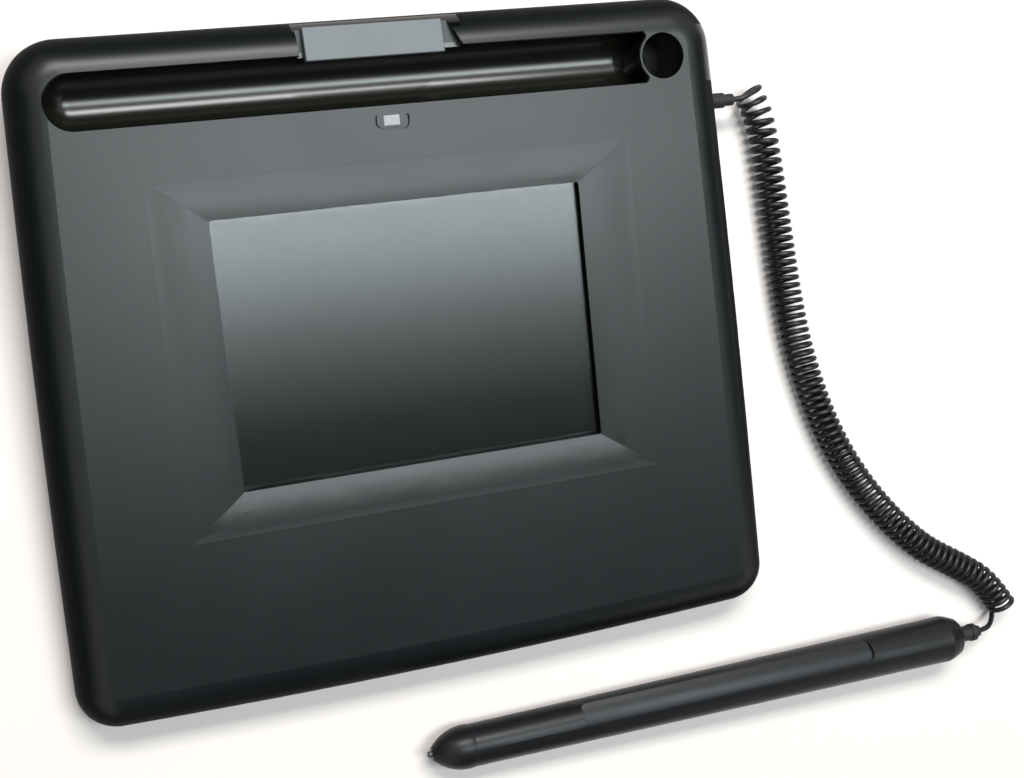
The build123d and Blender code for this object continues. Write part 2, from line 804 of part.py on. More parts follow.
# Status light on the board, and the light pipe up to its window
led_y = face_point(window_u, window_v, face_height - board_top).Y
with BuildPart() as status_led:
    with BuildSketch(Plane.XY.offset(board_top)):
        with Locations((window_u, led_y)):
            Rectangle(led_width, led_depth)
    extrude(amount=led_height)
    with BuildSketch(Plane.XY.offset(board_top + led_height)):
        with Locations((window_u, led_y)):
            Circle(led_depth / 3)
    extrude(amount=-led_height / 4, mode=Mode.SUBTRACT)
status_led.part.label = "status_led"

window_z = face_point(window_u, window_v, 0).Z
pipe_length = (window_z - board_top - led_height - led_gap) / cos(radians(face_slope))
with BuildPart() as status_window:
    with BuildSketch(face_spot(window_u, window_v, screw_clearance)):
        Rectangle(window_width, window_height)
    extrude(amount=screw_clearance - wall)
    with BuildSketch(face_spot(window_u, window_v, wall)):
        Rectangle(window_width + window_flange, window_height + window_flange)
    extrude(amount=-window_flange)
    with BuildSketch(face_spot(window_u, window_v, wall)):
        Rectangle(stem_width, stem_height)
    extrude(amount=wall - pipe_length)
status_window.part.label = "status_window"

# Ribbons from the display and the sensor board, bent down to their connectors
ribbon_bend_y = board_front_y + connector_depth + wall


def ribbon_connector(x):
    """A low connector on the board under the back edge of the display."""
    with BuildPart() as connector:
        with BuildSketch(Plane.XY.offset(board_top)):
            with Locations((x, ribbon_bend_y)):
                Rectangle(connector_width, connector_depth)
        extrude(amount=connector_height)
        chamfer(connector.faces().sort_by(Axis.Z)[-1].edges(), connector_height / 5)
    return connector.part


display_connector = ribbon_connector(lcd_ribbon_x)
display_connector.label = "display_connector"
sensor_connector = ribbon_connector(sensor_ribbon_x)
sensor_connector.label = "sensor_connector"

ribbon_back_v = screen_v + opening_height / 2 + sensor_border + wall


def ribbon(x, width, start_v, depth):
    """A flat ribbon that leaves the stack's back edge, loops down and runs forward to its connector."""
    start = face_point(0, start_v + ribbon_thickness / 2, depth)
    corner = face_point(0, ribbon_back_v, depth)
    low_z = board_top + connector_height + ribbon_thickness
    fold = (corner.Z - low_z) / 2
    with BuildPart() as strip:
        with BuildSketch(Plane.YZ.offset(x - width / 2)):
            with BuildLine():
                Polyline((start.Y, start.Z), (corner.Y, corner.Z))
                ThreePointArc(
                    (corner.Y, corner.Z), (corner.Y + fold, corner.Z - fold), (corner.Y, low_z)
                )
                Line((corner.Y, low_z), (ribbon_bend_y, low_z))
                offset(amount=ribbon_thickness / 2, side=Side.BOTH)
            make_face()
        extrude(amount=width)
    return strip.part


# Strain relief: a stepped sleeve with a neck through the wall and a flange inside it
relief_axis = Axis((0, relief_y, relief_height), (1, 0, 0))
wall_outside_x = side_x(relief_y)
relief_tip_x = wall_outside_x + relief_reach
with BuildPart() as strain_relief:
    with BuildSketch(Plane.XZ.offset(-relief_y)):
        with BuildLine():
            Polyline(
                (relief_inner_x, relief_height),
                (relief_inner_x, relief_height + relief_flange),
                (relief_inner_x + relief_flange_thickness, relief_height + relief_flange),
                (relief_inner_x + relief_flange_thickness, relief_height + relief_neck),
                (wall_outside_x + neck_clearance, relief_height + relief_neck),
                (wall_outside_x + neck_clearance, relief_height + relief_radius),
                (wall_outside_x + relief_step, relief_height + relief_radius),
                (wall_outside_x + relief_step, relief_height + relief_tip_radius),
                (relief_tip_x, relief_height + relief_tip_radius),
                (relief_tip_x, relief_height),
                close=True,
            )
        make_face()
    revolve(axis=relief_axis)
    tip_edges = strain_relief.edges().filter_by(GeomType.CIRCLE).sort_by(Axis.X)
    fillet(tip_edges[-1], relief_tip_radius / 4)
    fillet(tip_edges[-3], relief_tip_radius / 4)
strain_relief.part.label = "strain_relief"


# Pen, measured from its tail along its axis; it lies on the desk on its tapered side
pen_axis_drop = pen_tail_radius - pen_front_radius
pen_run_x = sqrt(pen_length**2 - (pen_nose_y - pen_tail_y) ** 2 - pen_axis_drop**2)
pen_tail = Vector(pen_tail_x, pen_tail_y, pen_tail_radius)
pen_nose = Vector(pen_tail_x - pen_run_x, pen_nose_y, pen_front_radius)
pen_forward = (pen_nose - pen_tail).normalized()
pen_side = Vector(0, 0, 1).cross(pen_forward).normalized()
pen_up = pen_forward.cross(pen_side)
pen_profile = Plane(origin=pen_tail, x_dir=pen_forward, z_dir=pen_side * -1)
pen_axis = Axis(pen_tail, pen_forward)


def pen_section(along):
    """A plane across the pen at this distance from its tail."""
    return Plane(origin=pen_tail + pen_forward * along, x_dir=pen_side, z_dir=pen_forward)


def barrel_radius(along):
    """Outer radius of the pen's long taper."""
    return pen_tail_radius - (pen_tail_radius - pen_front_radius) * along / pen_length


nose_start = pen_length - nose_length
bore_end = nose_start - spigot_length

with BuildPart() as pen_end_cap:
    with BuildSketch(pen_profile):
        with BuildLine():
            Polyline(
                (0, boot_neck_radius + screw_clearance),
                (0, barrel_radius(0) * 0.58),
                (end_cap_wall * 0.75, barrel_radius(0) * 0.8),
                (end_cap_length * 0.5, barrel_radius(0) * 0.94),
                (end_cap_length * 0.72, barrel_radius(0)),
                (end_cap_length, barrel_radius(end_cap_length)),
                (end_cap_length, pen_bore_radius - spigot_gap),
                (end_cap_length + spigot_length, pen_bore_radius - spigot_gap),
                (end_cap_length + spigot_length, boot_flange_radius + seat_gap),
                (end_cap_wall, boot_flange_radius + seat_gap),
                (end_cap_wall, boot_neck_radius + screw_clearance),
                close=True,
            )
        make_face()
    revolve(axis=pen_axis)
pen_end_cap.part.label = "pen_end_cap"

# Barrel with the long flat land sunk into its upper side
land_normal = pen_up * cos(radians(land_roll)) + pen_side * -sin(radians(land_roll))
land_middle = land_tail + land_length / 2
land_floor = barrel_radius(land_middle) - land_depth
land_plane = Plane(
    origin=pen_tail + pen_forward * land_middle + land_normal * land_floor,
    x_dir=pen_forward + land_normal * ((pen_front_radius - pen_tail_radius) / pen_length),
    z_dir=land_normal - pen_forward * ((pen_front_radius - pen_tail_radius) / pen_length),
)
with BuildPart() as pen_barrel:
    with BuildSketch(pen_profile):
        with BuildLine():
            Polyline(
                (end_cap_length, pen_bore_radius),
                (end_cap_length, barrel_radius(end_cap_length)),
                (nose_start, barrel_radius(nose_start)),
                (nose_start, pen_bore_radius),
                close=True,
            )
        make_face()
    revolve(axis=pen_axis)
    with BuildSketch(land_plane):
        RectangleRounded(land_length, land_width, land_corner)
    extrude(amount=pen_tail_radius, mode=Mode.SUBTRACT)
pen_barrel.part.label = "pen_barrel"

# Bullet nose with a spigot into the barrel and a bore for the nib
nose_radius = barrel_radius(nose_start)
with BuildPart() as pen_nose_cone:
    with BuildSketch(pen_profile):
        with BuildLine():
            Polyline(
                (nose_start, nose_radius),
                (nose_start, pen_bore_radius - spigot_gap),
                (bore_end, pen_bore_radius - spigot_gap),
                (bore_end, nose_cavity_radius),
                (pen_length - nose_cavity_end, nose_cavity_radius),
                (pen_length - nose_cavity_end, nib_radius + nib_clearance),
                (pen_length, nib_radius + nib_clearance),
                (pen_length, nib_radius * 2),
            )
            ThreePointArc(
                (pen_length, nib_radius * 2),
                (pen_length - nose_length * 0.16, nose_radius * 0.72),
                (pen_length - nose_length * 0.62, nose_radius),
            )
            Line((pen_length - nose_length * 0.62, nose_radius), (nose_start, nose_radius))
        make_face()
    revolve(axis=pen_axis)
pen_nose_cone.part.label = "pen_nose_cone"

# Nib with its long stem
stem_start = pen_length + nib_reach - nib_stem
with BuildPart() as pen_nib:
    with BuildSketch(pen_section(stem_start)):
        Circle(nib_radius)
    extrude(amount=nib_stem)
    tip_edge = pen_nib.edges().filter_by(GeomType.CIRCLE).sort_by(Axis.X)[0]
    fillet(tip_edge, nib_radius * 0.7)
pen_nib.part.label = "pen_nib"

# Coil round the nib's stem
tip_coil_end = pen_length - nose_cavity_end
with BuildPart() as tip_coil:
    with BuildSketch(pen_section(tip_coil_end)):
        Circle(tip_coil_radius)
        Circle(tip_coil_bore, mode=Mode.SUBTRACT)
    extrude(amount=-tip_coil_length)
tip_coil.part.label = "tip_coil"

# Switch behind the nib, clear of the stem by its travel
switch_front = stem_start - nib_travel - seat_gap
with BuildPart() as pressure_switch:
    with BuildSketch(pen_section(switch_front)):
        Circle(switch_radius)
    extrude(amount=-switch_length)
pressure_switch.part.label = "pressure_switch"

# Board inside the barrel
board_front = switch_front - switch_length
with BuildPart() as pen_board:
    with BuildSketch(pen_section(board_front)):
        Rectangle(pen_board_width, pen_board_thickness)
    extrude(amount=pen_board_tail - board_front)
pen_board.part.label = "pen_board"

# Boot where the cord enters the pen
with BuildPart() as pen_boot:
    with BuildSketch(pen_profile):
        with BuildLine():
            Polyline(
                (-boot_length, 0),
                (-boot_length, boot_tip_radius),
                (-boot_ring_place - boot_ring_length, boot_radius - seat_gap * 3),
                (-boot_ring_place - boot_ring_length, boot_ring_radius),
                (-boot_ring_place, boot_ring_radius),
                (-boot_ring_place, boot_radius),
                (0, boot_radius),
                (0, boot_neck_radius),
                (end_cap_wall, boot_neck_radius),
                (end_cap_wall, boot_flange_radius),
                (end_cap_wall + boot_flange_thickness, boot_flange_radius),
                (end_cap_wall + boot_flange_thickness, 0),
                close=True,
            )
        make_face()
    revolve(axis=pen_axis)
pen_boot.part.label = "pen_boot"

# Lead inside the pen, from the boot to the board
with BuildPart() as pen_inner_lead:
    with BuildSketch(pen_section(end_cap_wall + boot_flange_thickness)):
        Circle(wire_diameter / 2)
    extrude(amount=pen_board_tail - end_cap_wall - boot_flange_thickness)
pen_inner_lead.part.label = "pen_inner_lead"


# Cord routes. The coil's axis runs down the right side of the pad and round to the pen's tail.
coil_radius = (coil_diameter - wire_diameter) / 2
coil_axis_points = [
    Vector(112.2, 62.6, 6.0),
    Vector(114.5, 58.6, 5.4),
    Vector(116.2, 52.4, 4.9),
    Vector(117.2, 40.0, 4.7),
    Vector(118.2, 20.0, 4.7),
    Vector(119.2, 0.5, 4.7),
    Vector(121.6, -18.4, 4.7),
    Vector(128.4, -42.6, 4.7),
    Vector(139.9, -63.6, 4.7),
    Vector(155.8, -82.0, 4.7),
    Vector(169.8, -90.8, 4.7),
    Vector(180.1, -98.2, 4.7),
    Vector(185.4, -107.6, 4.7),
]


def bend_radii(points):
    """The largest easy radius at each inner point of a route."""
    radii = []
    for before, here, after in zip(points, points[1:], points[2:]):
        turn = radians((here - before).get_angle(after - here))
        radii.append(0.45 * min((here - before).length, (after - here).length) / tan(turn / 2))
    return radii


with BuildLine() as coil_axis:
    FilletPolyline(*coil_axis_points, radius=bend_radii(coil_axis_points))
coil_axis_wire = coil_axis.wire()


def coil_spot(turned):
    """The wire's centre after this many turns; the first turns stand further apart."""
    share = turned / coil_turns
    along = share + coil_loosening * share * (1 - share) ** 5
    centre = coil_axis_wire.position_at(along)
    onward = coil_axis_wire.tangent_at(along)
    across = Vector(0, 0, 1).cross(onward).normalized()
    up = onward.cross(across)
    angle = 2 * pi * turned
    return centre + up * (coil_radius * cos(angle)) + across * (coil_radius * sin(angle))


def coil_heading(turned):
    """Which way the wire runs there."""
    step = 0.002
    first = max(turned - step, 0)
    last = min(turned + step, coil_turns)
    return (coil_spot(last) - coil_spot(first)).normalized()


def biarc(start, heading, end, end_heading):
    """Two arcs that leave the start and reach the end along their headings."""
    chord = end - start
    square = 2 * (1 - heading.dot(end_heading))
    linear = 2 * chord.dot(heading + end_heading)
    reach = (sqrt(linear**2 + 4 * square * chord.dot(chord)) - linear) / (2 * square)
    joint = (start + heading * reach + end - end_heading * reach) / 2
    TangentArc(start, joint, tangent=heading)
    TangentArc(joint, end, tangent=end_heading * -1, tangent_from_first=False)


coil_start = coil_spot(0)
coil_start_heading = coil_heading(0)
coil_end = coil_spot(coil_turns)
coil_end_heading = coil_heading(coil_turns)
pad_lead_end = coil_start - coil_start_heading * wire_diameter
pen_lead_start = coil_end + coil_end_heading * wire_diameter

with BuildLine() as curls:
    Line(pad_lead_end, coil_start)
    for step in range(coil_steps):
        first = step * coil_turns / coil_steps
        last = (step + 1) * coil_turns / coil_steps
        biarc(coil_spot(first), coil_heading(first), coil_spot(last), coil_heading(last))
    Line(coil_end, pen_lead_start)

with BuildPart() as curly_cord:
    with BuildSketch(Plane(origin=pad_lead_end, z_dir=coil_start_heading)):
        RegularPolygon(wire_diameter / 2, cord_facets)
    sweep(path=curls.wire(), clean=False)
curly_cord.part.label = "curly_cord"


def lead(points):
    """A straight stretch of the cord, swept along runs joined by arcs."""
    with BuildLine() as route:
        FilletPolyline(*points, radius=bend_radii(points))
    with BuildPart() as tube:
        with BuildSketch(Plane(origin=points[0], z_dir=points[1] - points[0])):
            Circle(wire_diameter / 2)
        sweep(path=route.wire())
    length = route.wire().length
    section = pi * (wire_diameter / 2) ** 2
    print("  bend radii", [round(r, 1) for r in bend_radii(points)])
    print("  length", round(length, 1), "volume ratio", round(tube.part.volume / (section * length), 4))
    return tube.part


relief_tip = Vector(relief_tip_x, relief_y, relief_height)
print("pad lead")
pad_lead = lead(
    [
        relief_tip,
        relief_tip + Vector(1.9, 0, 0),
        pad_lead_end - coil_start_heading * 1.9,
        pad_lead_end,
    ]
)
pad_lead.label = "pad_lead"

boot_end = pen_tail - pen_forward * boot_length
print("pen lead")
pen_lead = lead(
    [
        pen_lead_start,
        pen_lead_start + coil_end_heading * 2.2,
        Vector(178.6, -111.8, 6.5),
        boot_end - pen_forward * 2.6,
        boot_end,
    ]
)
pen_lead.label = "pen_lead"

# Checks on the curls: their least gap, the wire's length and the swept volume
samples = 24
spots = [coil_spot(i / samples) for i in range(round(coil_turns * samples) + 1)]
least_gap = min(
    (spots[i] - spots[j]).length - wire_diameter
    for i in range(len(spots))
    for j in range(i + samples * 2 // 3, min(i + samples * 5 // 3, len(spots)))
)
curl_length = curls.wire().length
polygon_section = cord_facets / 2 * (wire_diameter / 2) ** 2 * sin(2 * pi / cord_facets)
print("coil axis radii", [round(r, 1) for r in bend_radii(coil_axis_points)])
print("coil axis length", round(coil_axis_wire.length, 1), "turns", coil_turns)
print("least gap between curls", round(least_gap, 2))
print("wire length in the curls", round(curl_length, 1))
print("curl volume ratio", round(curly_cord.part.volume / (polygon_section * curl_length), 4))

display_ribbon = ribbon(
    lcd_ribbon_x,
    lcd_ribbon_width,
    screen_v + opening_height / 2 + panel_border + bezel_wall,
    panel_bottom - ribbon_thickness,
)
display_ribbon.label = "display_ribbon"
sensor_ribbon = ribbon(
    sensor_ribbon_x,
    sensor_ribbon_width,
    screen_v + opening_height / 2 + sensor_border,
    sensor_bottom - sensor_thickness / 2,
)
sensor_ribbon.label = "sensor_ribbon"

pieces = [
    top_cover.part,
    bottom_cover.part,
    rubber_feet.part,
    cover_screws.part,
    pen_trough.part,
    pen_well.part,
    name_plate.part,
    screen_gasket.part,
    screen_glass.part,
    display_bezel.part,
    display_panel.part,
    backlight.part,
    sensor_board.part,
    shield_plate.part,
    display_frame.part,
    frame_screws.part,
    main_board.part,
    board_screws.part,
    controller_chip.part,
    usb_socket.part,
    pen_header.part,
    inner_lead.part,
    status_led.part,
    status_window.part,
    display_connector,
    sensor_connector,
    display_ribbon,
    sensor_ribbon,
    strain_relief.part,
    pad_lead,
    curly_cord.part,
    pen_lead,
    pen_end_cap.part,
    pen_barrel.part,
    pen_nose_cone.part,
    pen_nib.part,
    tip_coil.part,
    pressure_switch.part,
    pen_board.part,
    pen_boot.part,
    pen_inner_lead.part,
]
for piece in pieces:
    export_step(piece, f"parts/{piece.label}.step")
print(len(pieces), "pieces")
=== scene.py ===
"""Signature pad with a tethered pen: looks, cord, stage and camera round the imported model."""

import math
from bisect import bisect_left

import bpy
from mathutils import Matrix, Vector


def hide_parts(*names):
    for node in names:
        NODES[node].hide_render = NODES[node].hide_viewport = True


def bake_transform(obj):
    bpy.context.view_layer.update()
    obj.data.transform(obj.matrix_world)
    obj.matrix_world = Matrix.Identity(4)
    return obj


bl_info = {
    "name": "Signature pad",
    "version": (1, 0, 0),
    "blender": (4, 5, 0),
    "location": "3D View > Sidebar > Pad",
    "description": "Finishes a signature pad, its pen and its cord, and sets them on a pale stage",
    "category": "Object",
}

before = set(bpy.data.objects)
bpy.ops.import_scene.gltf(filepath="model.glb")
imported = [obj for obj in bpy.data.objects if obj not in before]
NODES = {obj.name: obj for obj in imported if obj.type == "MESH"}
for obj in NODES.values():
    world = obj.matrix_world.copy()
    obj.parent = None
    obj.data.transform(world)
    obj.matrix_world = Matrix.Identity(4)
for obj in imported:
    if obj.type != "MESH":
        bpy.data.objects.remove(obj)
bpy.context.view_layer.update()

# Where the photograph was taken from, with the directions across and up its picture
CAMERA_PLACE = Vector((-0.092419, 0.024625, 0.387999))
CAMERA_ACROSS = Vector((0.942577, -0.119258, 0.311970))
CAMERA_UP = Vector((0.142943, 0.988251, -0.054102))
CAMERA_LENS = 50.21

# Route of the cord, in metres: the same points as the solid's
RELIEF_TIP = Vector((0.1054, 0.0605, 0.0095))
PEN_TAIL = Vector((0.1659, -0.1125, 0.0072))
PEN_FORWARD = Vector((-0.999972, 0.000578, -0.007514))
BOOT_LENGTH = 0.0077
COIL_AXIS = (
    (0.1122, 0.0626, 0.0060),
    (0.1145, 0.0586, 0.0054),
    (0.1162, 0.0524, 0.0049),
    (0.1172, 0.0400, 0.0047),
    (0.1182, 0.0200, 0.0047),
    (0.1192, 0.0005, 0.0047),
    (0.1216, -0.0184, 0.0047),
    (0.1284, -0.0426, 0.0047),
    (0.1399, -0.0636, 0.0047),
    (0.1558, -0.0820, 0.0047),
    (0.1698, -0.0908, 0.0047),
    (0.1801, -0.0982, 0.0047),
    (0.1854, -0.1076, 0.0047),
)
LOOP_POINT = Vector((0.1786, -0.1118, 0.0065))
STEPS_PER_TURN = 16
# Straight runs of the leads beside the strain relief, the coil and the boot
RELIEF_RUN, COIL_RUN, BOOT_RUN = 0.0019, 0.0012, 0.0026
# How far from the coil the leads turn towards its first and its last curl
FIRST_CURL_TURN, LAST_CURL_TURN = 0.0035, 0.0038

# Edges on the pad that the finishes are cut to, in metres
DISH_BACK, DISH_FRONT, DISH_SIDE = 0.05266, -0.04066, 0.0659
DISH_RUN_END, DISH_RUN_SIDE = 0.01166, 0.0159
GROOVE_FRONT, GROOVE_BACK, GROOVE_LEFT = 0.0652, 0.0806, -0.0864
NOTCH_LEFT, NOTCH_RIGHT = -0.0231, 0.0213
GROOVE_WALL_FOOT = 0.0205

# The flat land along the pen, in metres: its ends, its middle line, its width and the way it faces
LAND_FRONT_X, LAND_BACK_X = 0.0372, 0.1316
LAND_MIDDLE_Y = -0.1095
LAND_WIDTH = 0.0066
LAND_FACING_Y, LAND_FACING_Z = 0.545, 0.839


def number(label, text, start, low, high, unit="NONE"):
    """A float setting of the panel."""
    return bpy.props.FloatProperty(
        name=label, description=text, default=start, min=low, max=high, precision=5, unit=unit
    )


def colour(label, text, start):
    """A colour setting of the panel."""
    return bpy.props.FloatVectorProperty(
        name=label, description=text, default=start, size=3, min=0, max=1, subtype="COLOR"
    )


class PadCordSettings(bpy.types.PropertyGroup):
    """Sizes of the curly cord."""

    wire: number("Wire", "Thickness of the cord's jacket", 0.0016, 0.0005, 0.005, "LENGTH")
    coil: number("Coil", "Outside diameter of the curls", 0.009, 0.004, 0.03, "LENGTH")
    turns: number("Turns", "Number of curls", 77.625, 5, 100)
    loosening: number("Loosening", "How far the first curls are pulled apart", 0.35, 0, 1)
    length: number("Length", "Length of the whole wire, curls included", 1.868, 0.1, 5, "LENGTH")


class PadFinishSettings(bpy.types.PropertyGroup):
    """Colours of the finishes."""

    housing: colour("Housing", "Matte shell of the pad", (0.0045, 0.0056, 0.0062))
    trough: colour("Trough", "Polished lining of the pen groove", (0.0045, 0.0043, 0.003))
    plate: colour("Plate", "Bare plate in the notch", (0.126, 0.138, 0.145))
    panel: colour("Panel", "Unlit display under the glass", (0.008, 0.0095, 0.0095))
    pen: colour("Pen", "Barrel, nose and cap of the pen", (0.007, 0.0074, 0.0085))
    jacket: colour("Jacket", "Jacket of the cord", (0.006, 0.006, 0.0066))
    rubber: colour("Rubber", "Feet, boot and strain relief", (0.008, 0.008, 0.0085))
    board: colour("Board", "Solder mask of the boards", (0.01, 0.09, 0.035))


class PadStageSettings(bpy.types.PropertyGroup):
    """Light and floor."""

    floor: colour("Floor", "Pale floor", (0.63, 0.585, 0.565))
    key: number("Key", "Power of the box light over the pad", 10.2, 0, 500, "POWER")
    back: number("Back", "Power of the light behind the pad", 19.0, 0, 500, "POWER")
    dark: number("Dark cards", "How dark the cards round the set are", 0.02, 0, 1)
    fill: number("Fill", "Strength of the even light from all round", 0.2, 0, 2)


# Shader helpers


class Value:
    """A socket that can be used in sums."""

    def __init__(self, finish, socket):
        self.finish = finish
        self.socket = socket

    def _math(self, operation, first, second):
        node = self.finish.node("ShaderNodeMath", {"operation": operation}, {0: first, 1: second})
        return Value(self.finish, node.outputs[0])

    def __add__(self, other):
        return self._math("ADD", self, other)

    __radd__ = __add__

    def __sub__(self, other):
        return self._math("SUBTRACT", self, other)

    def __rsub__(self, other):
        return self._math("SUBTRACT", other, self)

    def __mul__(self, other):
        return self._math("MULTIPLY", self, other)

    def size(self):
        """The value without its sign."""
        return self._math("ABSOLUTE", self, 0.0)

    def lesser(self, other):
        """The smaller of two values."""
        return self._math("MINIMUM", self, other)

    def greater(self, other):
        """The larger of two values."""
        return self._math("MAXIMUM", self, other)

    def above(self, limit, soft):
        """0 below the limit, 1 above it, with a soft edge."""
        node = self.finish.node(
            "ShaderNodeMapRange",
            {"interpolation_type": "SMOOTHSTEP", "clamp": True},
            {"Value": self, "From Min": limit - soft, "From Max": limit + soft},
        )
        return Value(self.finish, node.outputs["Result"])


class Finish:
    """A material under construction, on one principled shader."""

    def __init__(self, name, **constants):
        self.material = bpy.data.materials.new(name)
        self.material.use_nodes = True
        self.tree = self.material.node_tree
        self.tree.nodes.clear()
        self.output = self.tree.nodes.new("ShaderNodeOutputMaterial")
        self.shader = self.tree.nodes.new("ShaderNodeBsdfPrincipled")
        self.tree.links.new(self.shader.outputs[0], self.output.inputs["Surface"])
        place = self.tree.nodes.new("ShaderNodeTexCoord")
        self.place = place.outputs["Object"]
        self.normal = place.outputs["Normal"]
        for name_of, value in constants.items():
            self.shader.inputs[name_of.replace("_", " ")].default_value = value

    def node(self, kind, settings=None, values=None):
        """Adds a node: its settings first, then the values or links of its sockets."""
        node = self.tree.nodes.new(kind)
        for key, value in (settings or {}).items():
            setattr(node, key, value)
        for key, value in (values or {}).items():
            self.put(node.inputs[key], value)
        return node

    def put(self, socket, value):
        """A value or a link on a socket."""
        if isinstance(value, Value):
            value = value.socket
        if isinstance(value, bpy.types.NodeSocket):
            self.tree.links.new(value, socket)
        else:
            socket.default_value = value

    def feed(self, **inputs):
        """Values or links for the shader's own sockets, by their names with underscores."""
        for name, value in inputs.items():
            self.put(self.shader.inputs[name.replace("_", " ")], value)
        return self

    def noise(self, size, detail=2.0, stretch=(1, 1, 1)):
        """Noise whose blobs are about this size in metres."""
        mapping = self.node(
            "ShaderNodeMapping", {"vector_type": "POINT"}, {"Vector": self.place, "Scale": stretch}
        )
        node = self.node(
            "ShaderNodeTexNoise",
            {"noise_dimensions": "3D"},
            {"Vector": mapping.outputs[0], "Scale": 1 / size, "Detail": detail},
        )
        return Value(self, node.outputs["Fac"])

    def cells(self, size):
        """Distance to scattered cell centres about this far apart in metres."""
        node = self.node(
            "ShaderNodeTexVoronoi", {"feature": "F1"}, {"Vector": self.place, "Scale": 1 / size}
        )
        return Value(self, node.outputs["Distance"])

    def along(self, axis):
        """The X, Y or Z place in metres."""
        node = self.node("ShaderNodeSeparateXYZ", None, {0: self.place})
        return Value(self, node.outputs[axis])

    def facing(self, axis):
        """The X, Y or Z part of the surface's normal."""
        node = self.node("ShaderNodeSeparateXYZ", None, {0: self.normal})
        return Value(self, node.outputs[axis])

    def mix(self, factor, first, second):
        """A colour between two colours."""
        node = self.node("ShaderNodeMix", {"data_type": "RGBA"}, {"Factor": factor})
        for socket in node.inputs:
            if socket.type == "RGBA" and socket.name == "A":
                self.put(socket, self._colour(first))
            if socket.type == "RGBA" and socket.name == "B":
                self.put(socket, self._colour(second))
        return [socket for socket in node.outputs if socket.type == "RGBA"][0]

    def _colour(self, value):
        if isinstance(value, (bpy.types.NodeSocket, Value)):
            return value
        return (*value[:3], 1.0)

    def blend(self, factor, first, second):
        """The surface from one shader to another."""
        ends = {1: first.outputs[0], 2: second.outputs[0]}
        node = self.node("ShaderNodeMixShader", None, {0: factor, **ends})
        self.put(self.output.inputs["Surface"], node.outputs[0])
        return node

    def bump(self, height, depth, normal=None):
        """A bump from heights in shares of the depth, in metres."""
        values = {"Height": height, "Distance": depth, "Strength": 1.0}
        if normal is not None:
            values["Normal"] = normal
        return self.node("ShaderNodeBump", None, values).outputs[0]


def tint(base, share):
    """A colour made lighter or darker by a share."""
    return tuple(max(0.0, min(1.0, channel * share)) for channel in base[:3])


def put_on(material, *names):
    """Gives the material to these CAD nodes."""
    for name in names:
        mesh = NODES[name].data
        mesh.materials.clear()
        mesh.materials.append(material)


def deselect_all():
    """Leaves nothing selected."""
    for thing in bpy.context.selected_objects:
        thing.select_set(False)


# Finishes


def moulded(name, base, grain=0.00028, depth=0.000012, rough=0.42, sheen=0.15, dust=0.02):
    """Fine textured moulded plastic with faint handling marks."""
    finish = Finish(name, Specular_IOR_Level=sheen)
    grains = finish.noise(grain, 3.0)
    patches = finish.noise(0.03, 3.0)
    specks = finish.cells(0.0021).above(0.1, 0.06)
    upward = finish.facing("Z").above(0.6, 0.3)
    powder = finish.noise(0.0006, 4.0).above(0.66, 0.05) * upward * dust
    worn = finish.mix(patches.above(0.5, 0.25), tint(base, 0.92), tint(base, 1.1))
    dusty = finish.mix(powder, worn, (0.3, 0.3, 0.29))
    finish.feed(
        Base_Color=dusty,
        Roughness=rough + (patches - 0.5) * 0.1 + (1 - specks) * 0.05,
        Normal=finish.bump(grains, depth),
    )
    return finish.material


def shell(name, base):
    """The housing's matte plastic, polished on the walls of the groove and in the notch, with
    painted shade on those walls and on the shoulders.
    """
    finish = Finish(name, Specular_IOR_Level=0.25)
    grains = finish.noise(0.00028, 3.0)
    patches = finish.noise(0.03, 3.0)
    across = finish.along("X")
    back = finish.along("Y")
    # the dish is soft, and its back side is nearly level, so its slopes are eased
    rise_back = (DISH_BACK - back) * (1 / DISH_RUN_END)
    rise_front = (back - DISH_FRONT) * (1 / DISH_RUN_END)
    rise_side = (DISH_SIDE - across.size()) * (1 / DISH_RUN_SIDE)
    rise = rise_back.lesser(rise_side).lesser(rise_front).greater(0.0).lesser(1.0)
    easing = rise * rise * (0.75 + back.above(0.0, 0.035) * 0.5)
    height = finish.along("Z")
    steep = 1 - finish.facing("Z").above(0.86, 0.06)
    upright = 1 - finish.facing("Z").above(0.55, 0.3)
    # walls of the groove and of the notch, which are polished, and painted darker as painted shade
    # in the recess
    past_front = back.above(GROOVE_FRONT, 0.0002)
    before_back = 1 - back.above(GROOVE_BACK, 0.0002)
    near_groove = past_front * before_back * across.above(GROOVE_LEFT, 0.0002)
    before_right = 1 - across.above(NOTCH_RIGHT, 0.0001)
    in_notch = across.above(NOTCH_LEFT, 0.0001) * before_right * past_front
    inner = steep * (near_groove + in_notch) * height.above(GROOVE_WALL_FOOT, 0.0004)
    gloss = inner.above(0.5, 0.2)
    matte = 1 - gloss
    worn = finish.mix(patches.above(0.5, 0.25), tint(base, 0.92), tint(base, 1.1))
    rough = 0.335 + (patches - 0.5) * 0.06 + upright * matte * 0.4
    finish.feed(
        # painted shade: the walls in the groove and the notch get half the housing's colour
        Base_Color=finish.mix(gloss, worn, tint(base, 0.5)),
        Roughness=rough - gloss * 0.17 - rise * 0.04,
        Normal=finish.bump(grains * matte, 0.000008, normal=finish.bump(easing, 0.0019)),
    )
    # the shoulders, which turn away, are painted darker and lose the sheen of the face: painted
    # shade set by the way they face
    turned = (1 - finish.facing("Z").above(0.87, 0.12)) * matte
    shoulder_shade = finish.node(
        "ShaderNodeBsdfPrincipled",
        None,
        {"Base Color": finish.mix(patches, tint(base, 0.7), tint(base, 0.9)), "Roughness": 0.5},
    )
    shoulder_shade.inputs["Specular IOR Level"].default_value = 0.025
    finish.blend(turned, finish.shader, shoulder_shade)
    return finish.material


